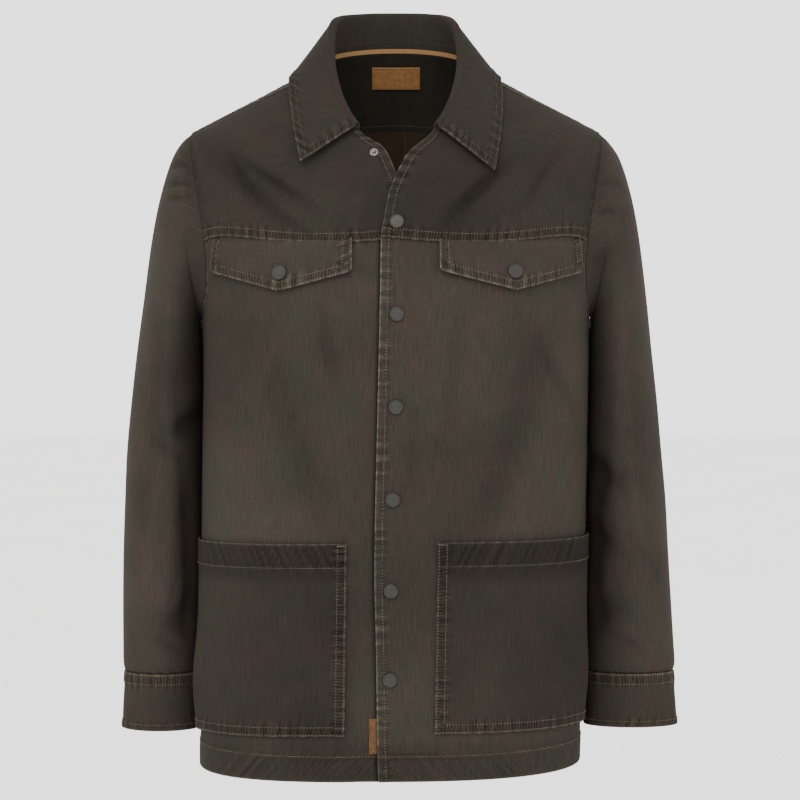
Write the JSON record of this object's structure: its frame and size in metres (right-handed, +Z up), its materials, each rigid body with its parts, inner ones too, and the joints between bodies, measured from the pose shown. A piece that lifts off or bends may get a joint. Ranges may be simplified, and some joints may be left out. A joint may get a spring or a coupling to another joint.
{
  "type": "barn jacket",
  "caption": "Boxy hip-length barn jacket, filled out as worn: snap front placket, shoulder yokes, snapped chest flaps, deep patch pockets, turned-down collar and banded cuffs.",
  "frame": {"origin": "middle of the neck opening at the height where the collar's stand meets the shoulders, where the wearer's neck and shoulders hold the jacket up", "axes": "+Z up, +X to the wearer's left (the viewer's right), -Y out of the front"},
  "size_m": [0.6002, 0.2633, 0.8078],
  "materials": {
    "brushed_cotton": "matte, brushed nap",
    "tan_leather": "matte, lightly waxed",
    "tan_tape": "matte, twill woven",
    "olive_snap": "matte",
    "steel_stud": "satin"
  },
  "bodies": {
    "root": {"front_left": "brushed_cotton", "front_right": "brushed_cotton", "front_yoke_left": "brushed_cotton", "front_yoke_right": "brushed_cotton", "back_left": "brushed_cotton", "back_right": "brushed_cotton", "back_yoke": "brushed_cotton", "sleeve_left": "brushed_cotton", "sleeve_right": "brushed_cotton", "cuff_left": "brushed_cotton", "cuff_right": "brushed_cotton", "collar": "brushed_cotton", "flap_left": "brushed_cotton", "flap_right": "brushed_cotton", "pocket_left": "brushed_cotton", "pocket_right": "brushed_cotton", "neck_tape": "tan_tape", "neck_label": "tan_leather", "hem_tab": "tan_leather", "snap_1": "olive_snap", "snap_2": "olive_snap", "snap_3": "olive_snap", "snap_4": "olive_snap", "snap_5": "olive_snap", "snap_6": "olive_snap", "flap_snap_left": "olive_snap", "flap_snap_right": "olive_snap", "top_stud": "steel_stud"}
  },
  "joints": []
}
